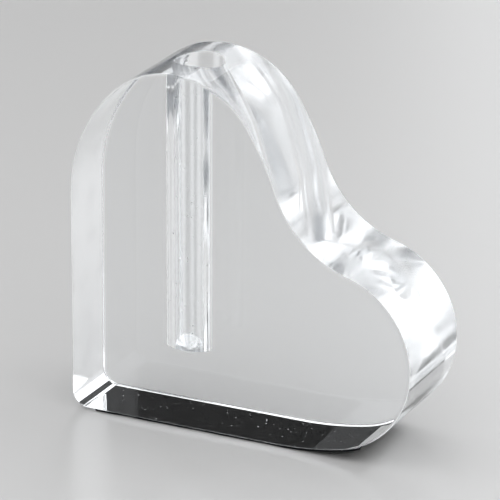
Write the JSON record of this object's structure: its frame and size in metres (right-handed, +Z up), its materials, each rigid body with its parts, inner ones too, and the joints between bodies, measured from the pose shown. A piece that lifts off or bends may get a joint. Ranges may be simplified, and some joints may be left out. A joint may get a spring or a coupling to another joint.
{
  "type": "heart stand block",
  "caption": "Clear acrylic heart block that stands on one straight side, with a deep blind hole in its upper lobe for a stem, rod or pen, on a thin black base film.",
  "frame": {"origin": "on the surface it stands on, under the middle of the whole part's width and thickness", "axes": "+X along the base from the tip towards the side lobe, +Y through the thickness from the front face to the back face, +Z up along the stem hole"},
  "size_m": [0.095, 0.03, 0.0951],
  "materials": {
    "clear_acrylic": "clear cast acrylic, polished all over, with fine hairlines; the drilled hole is slightly frosted",
    "black_film": "thin black film, satin, cut by hand, with a pale upper side"
  },
  "bodies": {
    "root": {"heart_block": "clear_acrylic", "base_film": "black_film"}
  },
  "joints": []
}
